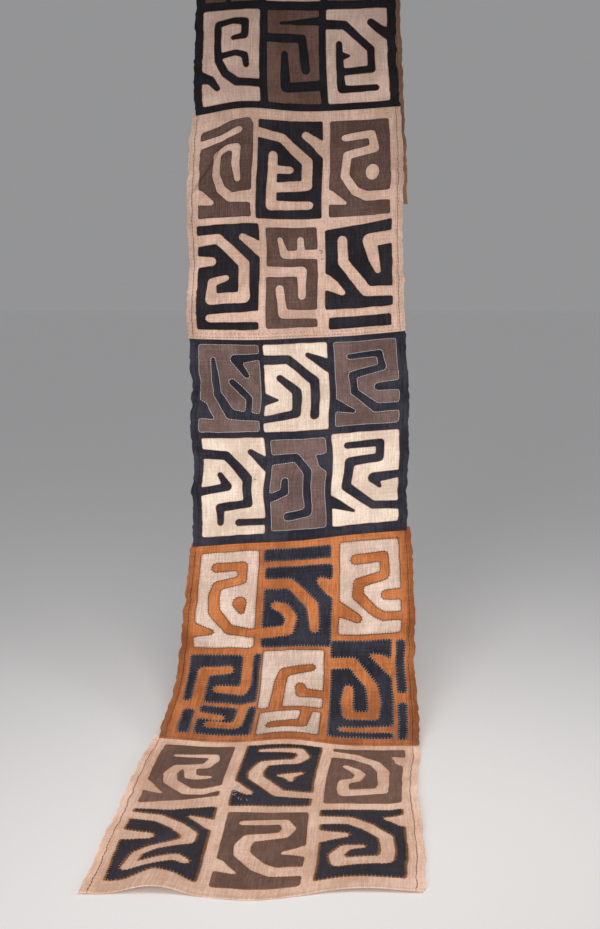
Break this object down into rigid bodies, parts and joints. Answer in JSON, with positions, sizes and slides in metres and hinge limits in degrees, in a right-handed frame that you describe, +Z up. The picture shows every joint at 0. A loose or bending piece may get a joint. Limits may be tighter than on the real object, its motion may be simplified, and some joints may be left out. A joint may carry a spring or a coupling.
{
  "type": "kuba raffia cloth",
  "caption": "Long raffia cloth of joined appliqué panels with angular hooked motifs, hung from a fold at the top with one end trailing on the floor.",
  "frame": {"origin": "the line the cloth hangs over: the underside of the fold at its top, halfway across", "axes": "+X across the cloth to the right seen from the front, +Y to the back, +Z up; the face side of the long front drop looks towards -Y"},
  "size_m": [0.6761, 1.508, 1.9855],
  "materials": {
    "beige_raffia": "plain-woven raffia, undyed, matt",
    "cream_raffia": "plain-woven raffia, pale, matt",
    "brown_raffia": "plain-woven raffia, dyed brown, matt",
    "black_raffia": "plain-woven raffia, dyed blue-black, matt",
    "orange_raffia": "plain-woven raffia, dyed orange, matt"
  },
  "bodies": {
    "root": {"panel_0": "beige_raffia", "panel_1": "black_raffia", "panel_2": "beige_raffia", "panel_3": "black_raffia", "panel_4": "orange_raffia", "panel_5": "beige_raffia", "motif_5_lower_left": "black_raffia", "motif_5_lower_middle": "brown_raffia", "motif_5_lower_right": "black_raffia", "motif_5_upper_left": "brown_raffia", "motif_5_upper_middle": "black_raffia", "motif_5_upper_right": "brown_raffia", "motif_4_lower_left": "black_raffia", "motif_4_lower_left_bar": "black_raffia", "motif_4_lower_left_foot": "black_raffia", "motif_4_lower_middle": "cream_raffia", "motif_4_lower_middle_foot": "cream_raffia", "motif_4_lower_right": "black_raffia", "motif_4_lower_right_bar": "black_raffia", "motif_4_lower_right_foot": "black_raffia", "motif_4_upper_left": "cream_raffia", "motif_4_upper_middle": "black_raffia", "motif_4_upper_middle_bar": "black_raffia", "motif_4_upper_right": "cream_raffia", "motif_3_lower_left": "cream_raffia", "motif_3_lower_middle": "brown_raffia", "motif_3_lower_right": "cream_raffia", "motif_3_upper_left": "brown_raffia", "motif_3_upper_middle": "cream_raffia", "motif_3_upper_right": "brown_raffia", "motif_2_lower_left": "black_raffia", "motif_2_lower_middle": "brown_raffia", "motif_2_lower_right": "black_raffia", "motif_2_lower_right_bar": "black_raffia", "motif_2_upper_left": "brown_raffia", "motif_2_upper_middle": "black_raffia", "motif_2_upper_right": "brown_raffia", "motif_1_lower_left": "cream_raffia", "motif_1_lower_middle": "brown_raffia", "motif_1_lower_right": "cream_raffia", "motif_1_upper_left": "brown_raffia", "motif_1_upper_middle": "cream_raffia", "motif_1_upper_right": "brown_raffia", "motif_0_lower_left": "black_raffia", "motif_0_lower_middle": "brown_raffia", "motif_0_lower_right": "black_raffia", "motif_0_upper_left": "brown_raffia", "motif_0_upper_middle": "black_raffia", "motif_0_upper_right": "brown_raffia"}
  },
  "joints": []
}
